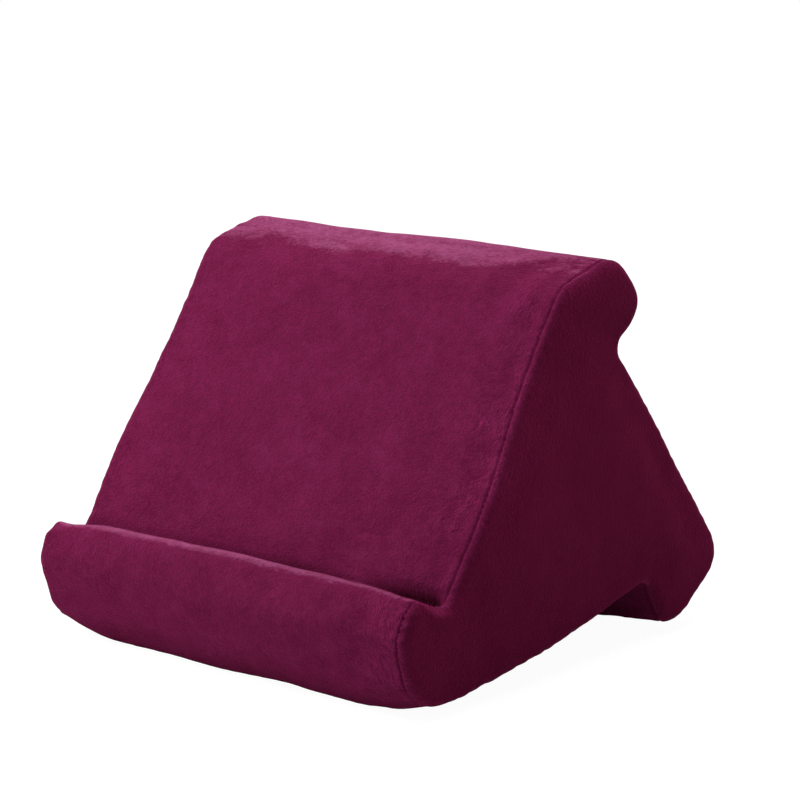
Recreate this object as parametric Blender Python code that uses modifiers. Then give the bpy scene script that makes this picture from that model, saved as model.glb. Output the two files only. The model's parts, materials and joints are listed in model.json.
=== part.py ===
"""Tablet cushion stand: a foam block cut to a three-armed section, in a sewn plush cover with a zip.

Metres, +Z up. The tablet's face looks towards -Y, and the width runs along X.
The origin is on the floor, under the middle of the cushion.
"""
import math

import bmesh
import bpy
from mathutils import Matrix, Vector

# Width of the cushion, and the clearance between pieces that touch
WIDTH = 0.282
GAP = 0.0003

# Cover
FABRIC = 0.0014
SEAM_INSET = 0.010
RIM_ROUND = 0.008
RIM_STEPS = 3

# Front arm: the lip that stops the tablet, and the ledge behind it
CHIN_HEIGHT = 0.050
FRONT_SETBACK = 0.0145
LIP_HEIGHT = 0.077
LIP_SETBACK = 0.0125
LEDGE_DEPTH = 0.025
LEDGE_DROP = 0.0165

# Face that the tablet leans on, and the crest above it
FACE_LENGTH = 0.1985
FACE_SLOPE = math.radians(56.4)
CREST_DEPTH = 0.0505
CREST_RISE = 0.0132

# Top arm: the nose that overhangs the back
NOSE_LENGTH = 0.0415
NOSE_SLOPE = math.radians(50.0)
NOTCH_DEPTH = 0.0365
NOTCH_SLOPE = math.radians(46.5)

# Back face and the rear arm, which is the foot
BACK_SLOPE = math.radians(52.0)
HEEL_HEIGHT = 0.039
HEEL_DEPTH = 0.044
FOOT_LENGTH = 0.0195
ARCH_HEIGHT = 0.037
ARCH_SETBACK = 0.016

# Underside, which sags a little between the two rests
FRONT_REST = 0.0425
UNDERSIDE_SAG = 0.005

# Rounding of each corner of the section
FRONT_ROUND = 0.030
CHIN_ROUND = 0.018
LIP_ROUND = 0.011
LEDGE_ROUND = 0.007
CREST_ROUND = 0.022
CROWN_ROUND = 0.020
NOSE_ROUND = 0.014
NOTCH_ROUND = 0.007
BACK_ROUND = 0.022
HEEL_ROUND = 0.026
FOOT_ROUND = 0.0080
ARCH_ROUND = 0.007
ARC_STEP = math.radians(15.0)

# Zip in the back face, a coil zip
ZIP_RISE = 0.050
ZIP_MARGIN = 0.021
ZIP_LENGTH = WIDTH - 2 * (SEAM_INSET + ZIP_MARGIN)
ZIP_OPENING = 0.011
SLOT_OVERRUN = 0.006
TAPE_WIDTH = 0.014
TAPE_THICKNESS = 0.0005
TAPE_OVERRUN = 0.012
CHAIN_GAP = 0.0012
COIL_WIDTH = 0.0025
COIL_HEIGHT = 0.0022
STOP_LENGTH = 0.0025
STOP_RIM = 0.0004

# Slider and its pull tab
SLIDER_LENGTH = 0.011
SLIDER_WALL = 0.0009
SLIDER_TOP = 0.0010
SLIDER_BASE = 0.0008
SLIDER_PLAY = 0.0005
POST_LENGTH = 0.0025
POST_SETBACK = 0.0008
BAIL_LENGTH = 0.0064
BAIL_WIDTH = 0.0014
BAIL_BAR = 0.0008
TAB_THICKNESS = 0.0010
TAB_LENGTH = 0.024
TAB_WIDTH = 0.007
TAB_RING_WALL = 0.0016
TAB_ROUND = 0.0020
METAL_EDGE = 0.00015

# Clearance of the hollow in the foam round the back of the zip
HOLLOW_CLEARANCE = 0.0005

# Colours are linear red, green and blue
PLUSH = (0.165, 0.013, 0.061)
FOAM = (0.80, 0.76, 0.62)
ZIP_TAPE = (0.120, 0.010, 0.045)
ZIP_METAL = (0.62, 0.60, 0.57)


def clear_scene():
    for obj in list(bpy.data.objects):
        bpy.data.objects.remove(obj, do_unlink=True)


def make_collection(name):
    collection = bpy.data.collections.new(name)
    bpy.context.scene.collection.children.link(collection)
    return collection


def make_material(name, colour, roughness, metallic=0.0):
    material = bpy.data.materials.new(name)
    material.use_nodes = True
    shader = material.node_tree.nodes["Principled BSDF"]
    shader.inputs["Base Color"].default_value = (*colour, 1.0)
    shader.inputs["Roughness"].default_value = roughness
    shader.inputs["Metallic"].default_value = metallic
    return material


def make_object(name, mesh_data, collection, material=None, parent=None, location=(0.0, 0.0, 0.0)):
    mesh = bpy.data.meshes.new(name)
    mesh_data.normal_update()
    mesh_data.to_mesh(mesh)
    mesh_data.free()
    obj = bpy.data.objects.new(name, mesh)
    collection.objects.link(obj)
    if material:
        mesh.materials.append(material)
    obj.parent = parent
    obj.location = location
    return obj


def polar(length, angle):
    return Vector((length * math.cos(angle), length * math.sin(angle)))


def section_corners():
    """Corners of the cover's outer section, clockwise from the front: (depth, height) and rounding."""
    front = Vector((FRONT_SETBACK, 0.0))
    chin = Vector((0.0, CHIN_HEIGHT))
    lip = Vector((LIP_SETBACK, LIP_HEIGHT))
    ledge = lip + Vector((LEDGE_DEPTH, -LEDGE_DROP))
    crest = ledge + polar(FACE_LENGTH, FACE_SLOPE)
    crown = crest + Vector((CREST_DEPTH, CREST_RISE))
    nose = crown + polar(NOSE_LENGTH, -NOSE_SLOPE)
    notch = nose - polar(NOTCH_DEPTH, NOTCH_SLOPE)
    back = notch + polar((notch.y - HEEL_HEIGHT) / math.sin(BACK_SLOPE), -BACK_SLOPE)
    heel = Vector((back.x - HEEL_DEPTH, 0.0))
    foot = heel - Vector((FOOT_LENGTH, 0.0))
    arch = foot + Vector((-ARCH_SETBACK, ARCH_HEIGHT))
    rest = front + Vector((FRONT_REST, 0.0))
    sag = (arch + rest) / 2 - Vector((0.0, UNDERSIDE_SAG))
    return {
        "front": (front, FRONT_ROUND),
        "chin": (chin, CHIN_ROUND),
        "lip": (lip, LIP_ROUND),
        "ledge": (ledge, LEDGE_ROUND),
        "crest": (crest, CREST_ROUND),
        "crown": (crown, CROWN_ROUND),
        "nose": (nose, NOSE_ROUND),
        "notch": (notch, NOTCH_ROUND),
        "back": (back, BACK_ROUND),
        "heel": (heel, HEEL_ROUND),
        "foot": (foot, FOOT_ROUND),
        "arch": (arch, ARCH_ROUND),
        "sag": (sag, 0.0),
        "rest": (rest, 0.0),
    }


def outward(direction):
    """The side of a clockwise outline's edge that looks out of the cushion."""
    return Vector((-direction.y, direction.x))


def inset_corner(before, corner, after, inset):
    """A corner moved in with its two edges, and the turn made there, positive where it is convex."""
    arriving = (corner - before).normalized()
    leaving = (after - corner).normalized()
    turn = -math.atan2(arriving.x * leaving.y - arriving.y * leaving.x, arriving.dot(leaving))
    normals = outward(arriving) + outward(leaving)
    moved = corner - normals * inset / (1.0 + arriving.dot(leaving))
    return moved, turn, arriving


def corner_arc(moved, turn, arriving, radius):
    """Points of the arc that rounds one corner."""
    side = 1.0 if turn > 0.0 else -1.0
    tangent = radius * math.tan(abs(turn) / 2)
    start = moved - arriving * tangent
    centre = start - outward(arriving) * radius * side
    steps = max(1, math.ceil(abs(turn) / ARC_STEP))
    spoke = start - centre
    points = []
    for step in range(steps + 1):
        angle = -turn * step / steps
        turned = Vector((
            spoke.x * math.cos(angle) - spoke.y * math.sin(angle),
            spoke.x * math.sin(angle) + spoke.y * math.cos(angle),
        ))
        points.append(centre + turned)
    return points


def outline(inset=0.0):
    """Points of the section's rounded outline, moved in by the inset."""
    corners = list(section_corners().values())
    points = []
    for index, (corner, rounding) in enumerate(corners):
        before = corners[index - 1][0]
        after = corners[(index + 1) % len(corners)][0]
        moved, turn, arriving = inset_corner(before, corner, after, inset)
        radius = rounding - inset if turn > 0.0 else rounding + inset
        if rounding > 0.0 and radius > 0.0:
            points.extend(corner_arc(moved, turn, arriving, radius))
        else:
            points.append(moved)
    return points


def middle_depth():
    """Depth of the cushion's middle, measured from the chin."""
    depths = [point.x for point in outline()]
    return (min(depths) + max(depths)) / 2


def place(point, x, middle):
    """A point of the section, at the width x, in the cushion's own frame."""
    return Vector((x, point.x - middle, point.y))


def extruded_outline(points, low_x, high_x, middle):
    """A closed block of the section between two widths."""
    block = bmesh.new()
    ring = [block.verts.new(place(point, low_x, middle)) for point in points]
    face = block.faces.new(ring)
    pushed = bmesh.ops.extrude_face_region(block, geom=[face])
    moved = [item for item in pushed["geom"] if isinstance(item, bmesh.types.BMVert)]
    bmesh.ops.translate(block, verts=moved, vec=(high_x - low_x, 0.0, 0.0))
    bmesh.ops.recalc_face_normals(block, faces=block.faces)
    return block


def bevel(obj, width, steps=2, angle=math.radians(50.0)):
    modifier = obj.modifiers.new("Rounded edges", "BEVEL")
    modifier.width = width
    modifier.segments = steps
    modifier.limit_method = "ANGLE"
    modifier.angle_limit = angle


def boolean(obj, tool, operation):
    modifier = obj.modifiers.new(operation.title(), "BOOLEAN")
    modifier.operation = operation
    modifier.object = tool
    modifier.solver = "EXACT"


def smooth(obj, angle=math.radians(35.0)):
    obj.data.shade_smooth()
    obj.data.set_sharp_from_angle(angle=angle)


def block_between(low, high):
    """A box from its lowest to its highest corner."""
    low = Vector(low)
    high = Vector(high)
    size = Matrix.Diagonal((*(high - low), 1.0))
    box = bmesh.new()
    bmesh.ops.create_cube(box, size=1.0, matrix=Matrix.Translation((low + high) / 2) @ size)
    return box


def make_tool(name, mesh_data, tools, parent=None, location=(0.0, 0.0, 0.0)):
    tool = make_object(name, mesh_data, tools, parent=parent, location=location)
    tool.hide_render = True
    tool.display_type = "WIRE"
    return tool


# Heights of the zip's layers, measured out from the cover's surface
TAPE_OUTER = -FABRIC - GAP
TAPE_INNER = TAPE_OUTER - TAPE_THICKNESS
COIL_BOTTOM = TAPE_OUTER + GAP
COIL_TOP = COIL_BOTTOM + COIL_HEIGHT
COIL_EDGE = CHAIN_GAP / 2 + COIL_WIDTH
SLIDER_BASE_TOP = TAPE_INNER - GAP
SLIDER_BASE_BOTTOM = SLIDER_BASE_TOP - SLIDER_BASE
SLIDER_ROOF = COIL_TOP + GAP
SLIDER_ROOF_TOP = SLIDER_ROOF + SLIDER_TOP
SLIDER_HALF_WIDTH = COIL_EDGE + SLIDER_PLAY + SLIDER_WALL
SLIDER_CLOSED = ZIP_LENGTH / 2 - SLIDER_PLAY - SLIDER_LENGTH / 2
TAB_SWING = TAB_THICKNESS / math.sqrt(2.0) + GAP


def make_foam_core(parts, material, middle, zip_frame, tools):
    """One block of foam, hollowed where it gives way behind the zip."""
    inset = FABRIC + GAP
    half_width = WIDTH / 2 - inset
    block = extruded_outline(outline(inset), -half_width, half_width, middle)
    core = make_object("foam_core", block, parts, material)
    bevel(core, RIM_ROUND - inset, RIM_STEPS)
    surface = HOLLOW_CLEARANCE - inset
    tape_half_length = ZIP_LENGTH / 2 + TAPE_OVERRUN + HOLLOW_CLEARANCE
    tape_half_width = CHAIN_GAP / 2 + TAPE_WIDTH + HOLLOW_CLEARANCE
    tape_hollow = make_tool(
        "tape_hollow",
        block_between(
            (-tape_half_length, -tape_half_width, TAPE_INNER - GAP),
            (tape_half_length, tape_half_width, surface),
        ),
        tools,
        zip_frame,
    )
    slider_half_length = ZIP_LENGTH / 2
    slider_half_width = SLIDER_HALF_WIDTH + HOLLOW_CLEARANCE
    slider_hollow = make_tool(
        "slider_hollow",
        block_between(
            (-slider_half_length, -slider_half_width, SLIDER_BASE_BOTTOM - GAP),
            (slider_half_length, slider_half_width, surface),
        ),
        tools,
        zip_frame,
    )
    boolean(core, tape_hollow, "DIFFERENCE")
    boolean(core, slider_hollow, "DIFFERENCE")
    smooth(core)


def zip_centre():
    """The middle of the zip on the back face, as (depth, height)."""
    back = section_corners()["back"][0]
    return back - polar(ZIP_RISE, -BACK_SLOPE)


def make_wrap_panel(parts, material, middle, zip_frame, tools):
    """One strip of plush all round the section, open along the zip."""
    half_width = WIDTH / 2 - SEAM_INSET - GAP / 2
    sleeve = bmesh.new()
    left = [sleeve.verts.new(place(point, -half_width, middle)) for point in outline()]
    edges = [sleeve.edges.new(pair) for pair in zip(left, left[1:] + left[:1])]
    pushed = bmesh.ops.extrude_edge_only(sleeve, edges=edges)
    moved = [item for item in pushed["geom"] if isinstance(item, bmesh.types.BMVert)]
    bmesh.ops.translate(sleeve, verts=moved, vec=(2 * half_width, 0.0, 0.0))
    bmesh.ops.recalc_face_normals(sleeve, faces=sleeve.faces)
    panel = make_object("wrap_panel", sleeve, parts, material)
    face_outwards(panel, Vector((0.0, 0.0, -1.0)))
    solidify(panel)
    slot_half_length = ZIP_LENGTH / 2 + SLOT_OVERRUN
    slot = block_between(
        (-slot_half_length, -ZIP_OPENING / 2, -2 * FABRIC),
        (slot_half_length, ZIP_OPENING / 2, FABRIC),
    )
    boolean(panel, make_tool("zip_slot", slot, tools, zip_frame), "DIFFERENCE")
    smooth(panel)


def face_outwards(obj, direction):
    """Turns an open sheet over unless its face furthest along the direction looks that way."""
    furthest = max(obj.data.polygons, key=lambda polygon: polygon.center.dot(direction))
    if furthest.normal.dot(direction) < 0.0:
        obj.data.flip_normals()


def solidify(obj):
    """Gives a sheet of cover its thickness, inwards."""
    modifier = obj.modifiers.new("Cloth thickness", "SOLIDIFY")
    modifier.thickness = FABRIC
    modifier.offset = -1.0
    modifier.use_even_offset = True


def make_side_panel(name, side, parts, material, middle):
    """A panel cut to the section, its edge rolled over to the seam with the wrap."""
    outer = side * WIDTH / 2
    inner = side * (WIDTH / 2 - SEAM_INSET + GAP / 2)
    dish = extruded_outline(outline(), inner, outer, middle)
    open_face = min(dish.faces, key=lambda face: face.calc_center_median().x * side)
    bmesh.ops.delete(dish, geom=[open_face], context="FACES_ONLY")
    panel = make_object(name, dish, parts, material)
    face_outwards(panel, Vector((side, 0.0, 0.0)))
    bevel(panel, RIM_ROUND, RIM_STEPS)
    solidify(panel)
    smooth(panel)


def make_tapes(parts, material, zip_frame):
    half_length = ZIP_LENGTH / 2 + TAPE_OVERRUN
    near = CHAIN_GAP / 2
    far = near + TAPE_WIDTH
    rows = (("zipper_tape_upper", -far, -near), ("zipper_tape_lower", near, far))
    for name, low, high in rows:
        tape = block_between((-half_length, low, TAPE_INNER), (half_length, high, TAPE_OUTER))
        make_object(name, tape, parts, material, zip_frame)


def make_coils(parts, material, zip_frame):
    """The two rows of coil, each as the bar that encloses its turns."""
    half_length = ZIP_LENGTH / 2
    near = CHAIN_GAP / 2
    rows = (("zipper_coil_upper", -COIL_EDGE, -near), ("zipper_coil_lower", near, COIL_EDGE))
    for name, low, high in rows:
        row = block_between((-half_length, low, COIL_BOTTOM), (half_length, high, COIL_TOP))
        coil = make_object(name, row, parts, material, zip_frame)
        bevel(coil, COIL_HEIGHT / 4)
        smooth(coil)


def make_stops(parts, material, zip_frame):
    """Two stops where the zip closes, and one across both rows where it opens."""
    start = ZIP_LENGTH / 2 + GAP
    end = start + STOP_LENGTH
    near = CHAIN_GAP / 2
    far = COIL_EDGE + STOP_RIM
    top = COIL_TOP + STOP_RIM
    stops = (
        ("zipper_top_stop_upper", start, end, -far, -near),
        ("zipper_top_stop_lower", start, end, near, far),
        ("zipper_bottom_stop", -end, -start, -far, far),
    )
    for name, low_x, high_x, low_y, high_y in stops:
        stop = block_between((low_x, low_y, COIL_BOTTOM), (high_x, high_y, top))
        bevel(make_object(name, stop, parts, material, zip_frame), STOP_RIM / 2)


def bail_staple():
    """The bail as a bent bar, its two legs sunk in the slider's roof."""
    outside = BAIL_LENGTH / 2
    inside = outside - BAIL_BAR
    foot = SLIDER_ROOF + SLIDER_TOP / 2
    under = SLIDER_ROOF_TOP + 2 * TAB_SWING
    over = under + BAIL_BAR
    profile = (
        (-outside, foot), (-outside, over), (outside, over), (outside, foot),
        (inside, foot), (inside, under), (-inside, under), (-inside, foot),
    )
    staple = bmesh.new()
    ring = [staple.verts.new((x, -BAIL_WIDTH / 2, height)) for x, height in profile]
    pushed = bmesh.ops.extrude_face_region(staple, geom=[staple.faces.new(ring)])
    moved = [item for item in pushed["geom"] if isinstance(item, bmesh.types.BMVert)]
    bmesh.ops.translate(staple, verts=moved, vec=(0.0, BAIL_WIDTH, 0.0))
    bmesh.ops.recalc_face_normals(staple, faces=staple.faces)
    return staple


def make_slider(parts, material, zip_frame, tools):
    """Roof with two flanges, base under the tapes, post between the rows, and the bail for the tab."""
    half_length = SLIDER_LENGTH / 2
    half_width = SLIDER_HALF_WIDTH
    flange_bottom = TAPE_OUTER + GAP
    place_x = (SLIDER_CLOSED, 0.0, 0.0)
    roof = block_between(
        (-half_length, -half_width, flange_bottom),
        (half_length, half_width, SLIDER_ROOF_TOP),
    )
    slider = make_object("zipper_slider", roof, parts, material, zip_frame, place_x)
    past = half_length + GAP
    wall_inside = half_width - SLIDER_WALL
    channel = block_between((-past, -wall_inside, flange_bottom - GAP), (past, wall_inside, SLIDER_ROOF))
    base = block_between(
        (-half_length, -half_width, SLIDER_BASE_BOTTOM),
        (half_length, half_width, SLIDER_BASE_TOP),
    )
    post_half = CHAIN_GAP / 2 - GAP
    post = block_between(
        (half_length - POST_SETBACK - POST_LENGTH, -post_half, SLIDER_BASE_BOTTOM + SLIDER_BASE / 2),
        (half_length - POST_SETBACK, post_half, SLIDER_ROOF + SLIDER_TOP / 2),
    )
    steps = (
        ("slider_channel", channel, "DIFFERENCE"),
        ("slider_base", base, "UNION"),
        ("slider_post", post, "UNION"),
        ("slider_bail", bail_staple(), "UNION"),
    )
    for name, shape, operation in steps:
        boolean(slider, make_tool(name, shape, tools, zip_frame, place_x), operation)
    bevel(slider, METAL_EDGE, 1)
    return slider


def make_pull_tab(parts, material, slider, tools):
    """A flat tab whose ring hangs in the slider's bail; its origin is on the hinge line."""
    half = TAB_THICKNESS / 2
    hinge = (0.0, 0.0, SLIDER_ROOF_TOP + TAB_SWING)
    plate = block_between((-TAB_LENGTH, -TAB_WIDTH / 2, -half), (half, TAB_WIDTH / 2, half))
    corners = [edge for edge in plate.edges if abs((edge.verts[0].co - edge.verts[1].co).z) > half]
    bmesh.ops.bevel(plate, geom=corners, offset=TAB_ROUND, segments=RIM_STEPS, affect="EDGES", profile=0.5)
    tab = make_object("zipper_pull_tab", plate, parts, material, slider, hinge)
    bail_corner = math.hypot(BAIL_LENGTH / 2, TAB_SWING + BAIL_BAR)
    ring_inside = TAB_WIDTH / 2 - TAB_RING_WALL
    window = block_between(
        (-bail_corner - 2 * GAP, -ring_inside, -2 * half),
        (-half, ring_inside, 2 * half),
    )
    boolean(tab, make_tool("tab_window", window, tools, slider, hinge), "DIFFERENCE")
    bevel(tab, METAL_EDGE, 1)


def build():
    clear_scene()
    parts = make_collection("tablet_cushion_stand")
    tools = make_collection("cutters")
    plush = make_material("plush", PLUSH, 0.9)
    foam = make_material("foam", FOAM, 0.95)
    tape = make_material("zip_tape", ZIP_TAPE, 0.8)
    coil = make_material("zip_coil", ZIP_TAPE, 0.4)
    metal = make_material("zip_metal", ZIP_METAL, 0.3, 1.0)
    middle = middle_depth()

    zip_frame = bpy.data.objects.new("zip_frame", None)
    parts.objects.link(zip_frame)
    zip_frame.location = place(zip_centre(), 0.0, middle)
    zip_frame.rotation_euler = (-BACK_SLOPE, 0.0, 0.0)

    make_foam_core(parts, foam, middle, zip_frame, tools)
    make_wrap_panel(parts, plush, middle, zip_frame, tools)
    make_side_panel("left_side_panel", -1.0, parts, plush, middle)
    make_side_panel("right_side_panel", 1.0, parts, plush, middle)
    make_tapes(parts, tape, zip_frame)
    make_coils(parts, coil, zip_frame)
    make_stops(parts, metal, zip_frame)
    slider = make_slider(parts, metal, zip_frame, tools)
    make_pull_tab(parts, metal, slider, tools)


build()
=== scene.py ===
import json
import math

import bmesh
import bpy
import numpy as np
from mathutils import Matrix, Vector, geometry, noise
from mathutils.kdtree import KDTree


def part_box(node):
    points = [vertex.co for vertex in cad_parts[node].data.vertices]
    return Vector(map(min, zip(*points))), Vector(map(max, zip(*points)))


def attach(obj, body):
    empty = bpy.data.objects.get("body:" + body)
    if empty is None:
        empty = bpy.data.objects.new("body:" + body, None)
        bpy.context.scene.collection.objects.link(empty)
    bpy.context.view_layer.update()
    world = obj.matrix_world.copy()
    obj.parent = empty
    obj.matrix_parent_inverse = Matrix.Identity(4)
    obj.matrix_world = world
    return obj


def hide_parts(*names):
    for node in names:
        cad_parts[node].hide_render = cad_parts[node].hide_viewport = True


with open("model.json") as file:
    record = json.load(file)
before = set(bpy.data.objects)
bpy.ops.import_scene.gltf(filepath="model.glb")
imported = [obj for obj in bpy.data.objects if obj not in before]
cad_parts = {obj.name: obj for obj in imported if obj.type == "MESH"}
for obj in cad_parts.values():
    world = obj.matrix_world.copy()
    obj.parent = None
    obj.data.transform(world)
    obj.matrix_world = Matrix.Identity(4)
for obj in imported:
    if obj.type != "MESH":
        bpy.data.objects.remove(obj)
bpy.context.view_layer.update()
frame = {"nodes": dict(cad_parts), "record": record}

# Wrap panel
# One long strip of short-pile plush that runs round the whole section, cut straight and sewn to the side
# panels along both edges. It is pulled over the foam, so the seams draw it in and it stands fuller between.
RING_SPACING = 0.0013
FINE_STEPS = 4000
CLOTH_SOFTENING = 0.0025
EDGE_ROUND = 0.0065
SEAM_REACH = {-1.0: EDGE_ROUND * math.radians(65.0), 1.0: 0.0}
QUARTER = EDGE_ROUND * math.pi / 2
END_TOLERANCE = 1e-5


def end_ring(node):
    """The outer edge of a sleeve's end: a closed ring of (depth, height) points that runs up the face."""
    mesh = frame["nodes"][node].data
    end = max(vertex.co.x for vertex in mesh.vertices)
    uses = {}
    for polygon in mesh.polygons:
        corners = [mesh.vertices[index].co for index in polygon.vertices]
        if min(corner.x for corner in corners) < end - END_TOLERANCE:
            continue
        points = [(round(corner.y, 5), round(corner.z, 5)) for corner in corners]
        for pair in zip(points, points[1:] + points[:1]):
            key = frozenset(pair)
            uses[key] = uses.get(key, 0) + 1
    joined = {}
    for key, count in uses.items():
        if count == 1:
            first, second = tuple(key)
            joined.setdefault(first, []).append(second)
            joined.setdefault(second, []).append(first)
    rings = []
    while joined:
        point = min(joined)
        ring = [point]
        while joined.get(point):
            following = joined[point].pop()
            joined[following].remove(point)
            ring.append(following)
            point = following
        for used in ring:
            joined.pop(used, None)
        rings.append(np.array(ring[:-1]))
    outer = max(rings, key=lambda ring: np.ptp(ring[:, 1]))
    area = np.sum(outer[:, 0] * np.roll(outer[:, 1], -1) - np.roll(outer[:, 0], -1) * outer[:, 1])
    return outer if area < 0.0 else outer[::-1]


def ring_length(ring):
    """The length all round a closed ring."""
    return np.linalg.norm(ring - np.roll(ring, 1, axis=0), axis=1).sum()


def points_along(ring, wanted):
    """Points of a closed ring at the lengths wanted, measured from its first point."""
    closed = np.vstack([ring, ring[:1]])
    along = np.concatenate([[0.0], np.cumsum(np.linalg.norm(np.diff(closed, axis=0), axis=1))])
    return np.column_stack([np.interp(wanted, along, closed[:, axis]) for axis in (0, 1)])


def resample(ring, count):
    """The same closed ring with its points evenly spaced."""
    return points_along(ring, np.linspace(0.0, ring_length(ring), count, endpoint=False))


def soften(ring, width):
    """The ring with each point averaged over its neighbours within about the width."""
    waves = np.fft.fftfreq(len(ring), d=ring_length(ring) / len(ring))
    keep = np.exp(-2.0 * (math.pi * width * waves) ** 2)
    return np.column_stack([np.fft.ifft(np.fft.fft(ring[:, axis]) * keep).real for axis in (0, 1)])


def outward_normals(ring):
    """Unit vectors that look out of the ring."""
    along = np.roll(ring, -1, axis=0) - np.roll(ring, 1, axis=0)
    along /= np.maximum(np.linalg.norm(along, axis=1), 1e-9)[:, None]
    return np.column_stack([-along[:, 1], along[:, 0]])


# The zip's slot is cut along grid lines of the wrap, so its place sets some of the ring's points.
BAIL_STAND = 0.003107
SLOT_HALF_OPENING = 0.0055
SLOT_OVERRUN = 0.006

hinge = next(joint for joint in frame["record"]["behaviour"]["joints"] if joint["name"] == "pull_tab_hinge")
zip_down = np.array(hinge["axis"][1:])
zip_out = np.array((-zip_down[1], zip_down[0]))
zip_middle = np.array(hinge["pos_m"][1:]) - zip_out * BAIL_STAND
slot_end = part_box("zipper_coil_upper")[1][0] + SLOT_OVERRUN

fine_section = soften(resample(end_ring("wrap_panel"), FINE_STEPS), CLOTH_SOFTENING)
perimeter = ring_length(fine_section)
fine_along = np.arange(FINE_STEPS) * perimeter / FINE_STEPS
ON_BACK = 0.003
on_back = np.abs((fine_section - zip_middle) @ zip_out) < ON_BACK
down_back = (fine_section - zip_middle) @ zip_down
slot_edges = [fine_along[on_back][np.abs(down_back[on_back] - edge).argmin()] for edge in (
    -SLOT_HALF_OPENING,
    SLOT_HALF_OPENING,
)]
RING_COUNT = round(perimeter / RING_SPACING)
ALONG = np.arange(RING_COUNT) * perimeter / RING_COUNT
slot_columns = [int(np.abs(ALONG - edge).argmin()) for edge in slot_edges]
for column, edge in zip(slot_columns, slot_edges):
    ALONG[column] = edge
section = points_along(fine_section, ALONG)
TOP = section[:, 1].max()

# Ends of the cushion: how wide the cover stands at each side, and how the seams draw its ends in
LEFT_HALF_WIDTH = 0.1380
LEFT_FLARE = 0.0052
LEFT_BELLY = 0.0042
LEFT_CREST = 0.0022
RIGHT_HALF_WIDTH = 0.1390
RIGHT_FLARE = 0.0015
RIGHT_BELLY = 0.0062
BELLY_HEIGHT = 0.105
BELLY_SPREAD = 0.055
BELLY_BACK = -0.020
BELLY_SOFTNESS = 0.020
CREST_SPREAD = 0.030
PINCH_REACH = 0.018
PINCH_SHARPNESS = 1.3
FLOOR_LIFT = 0.0060
LIFT_SPREAD = 0.026
LIFT_SHARPNESS = 1.5
REAR_START = 0.050
REAR_SOFTNESS = 0.010
REAR_SHARE = 0.25
LIP_PINCH = 0.0035
LIP_PLACE = (-0.1260, 0.0755)
LIP_SPREAD = (0.014, 0.012)
CROWN_PINCH = 0.0015
CROWN_SPREAD = 0.020
NOTCH_PINCH = 0.0035
NOTCH_PLACE = (0.0500, 0.1850)
NOTCH_SPREAD = 0.008
CHIN_FULLNESS = 0.0019
CHIN_PLACE = (-0.126, 0.003)
CHIN_SPREAD = 0.010

# Between its ends the crest is a soft bend, not a fold, and it sags a little left of the middle
CREST_PLACE = (0.004, 0.2235)
CREST_REACH = 0.034
CREST_SOFTENING = 0.013
CREST_SAG = 0.0014
SAG_PLACE = -0.065
SAG_SPREAD = 0.045


def near(points, place, spread):
    """From 1 at a place on the section down to 0 away from it."""
    return np.exp(-(((points - place) / spread) ** 2).sum(axis=1))


to_crest = np.linalg.norm(section - CREST_PLACE, axis=1)
crest_share = np.exp(-((to_crest / CREST_REACH) ** 4))
crest_bend = (soften(section, CREST_SOFTENING) - section) * crest_share[:, None]


def half_width(points, side):
    """How far out the cover's edge stands at each (depth, height): it bellies out beside the face."""
    depth = points[:, 0]
    height = points[:, 1]
    flare = 1.0 - height / TOP
    forward = 1.0 / (1.0 + np.exp((depth - BELLY_BACK) / BELLY_SOFTNESS))
    belly = forward * np.exp(-(((height - BELLY_HEIGHT) / BELLY_SPREAD) ** 2))
    if side > 0.0:
        return RIGHT_HALF_WIDTH + RIGHT_FLARE * flare + RIGHT_BELLY * belly
    crest = np.exp(-(((TOP - height) / CREST_SPREAD) ** 2))
    return LEFT_HALF_WIDTH + LEFT_FLARE * flare + LEFT_BELLY * belly + LEFT_CREST * crest


def pinched(amount):
    """The section drawn in as at a seam, by 0 to 1: lifted off the floor, with the lip and crown lowered."""
    depth = section[:, 0]
    height = section[:, 1]
    rear = 1.0 / (1.0 + np.exp((REAR_START - depth) / REAR_SOFTNESS))
    share = amount * (1.0 - rear) + amount ** REAR_SHARE * rear
    lifted = section + crest_bend * (1.0 - amount)[:, None]
    by_floor = np.exp(-((np.maximum(height, 0.0) / LIFT_SPREAD) ** LIFT_SHARPNESS))
    lifted[:, 1] += share * FLOOR_LIFT * by_floor
    drawn = LIP_PINCH * near(section, LIP_PLACE, LIP_SPREAD)
    drawn += NOTCH_PINCH * near(section, NOTCH_PLACE, NOTCH_SPREAD)
    drawn += CROWN_PINCH * np.exp(-(((height - TOP) / CROWN_SPREAD) ** 2))
    fuller = (1.0 - amount) * CHIN_FULLNESS * near(section, CHIN_PLACE, CHIN_SPREAD)
    return lifted + outward_normals(section) * (fuller - amount * drawn)[:, None]


EDGE_WIDTH = {side: half_width(section, side) - EDGE_ROUND for side in (-1.0, 1.0)}
INSET_STEP = 0.001
INSET_RINGS = 10
RING_SOFTENING = 0.0012


def stepped_in(ring, steps):
    """The ring, and the ones that lie further and further in, softened so that no corner crosses itself."""
    rings = [ring]
    for _ in range(steps):
        moved = rings[-1] - outward_normals(rings[-1]) * INSET_STEP
        rings.append(resample(soften(moved, RING_SOFTENING), len(ring)))
    return np.array(rings)


END_RINGS = stepped_in(pinched(np.ones(RING_COUNT)), INSET_RINGS)
END_NORMALS = np.array([outward_normals(ring) for ring in END_RINGS])


def between_rings(table, inset):
    """A ring, or its normals, at any inset between the ones worked out."""
    place = min(max(inset / INSET_STEP, 0.0), INSET_RINGS - 1e-6)
    low = int(place)
    return table[low] * (1.0 - (place - low)) + table[low + 1] * (place - low)


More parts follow.
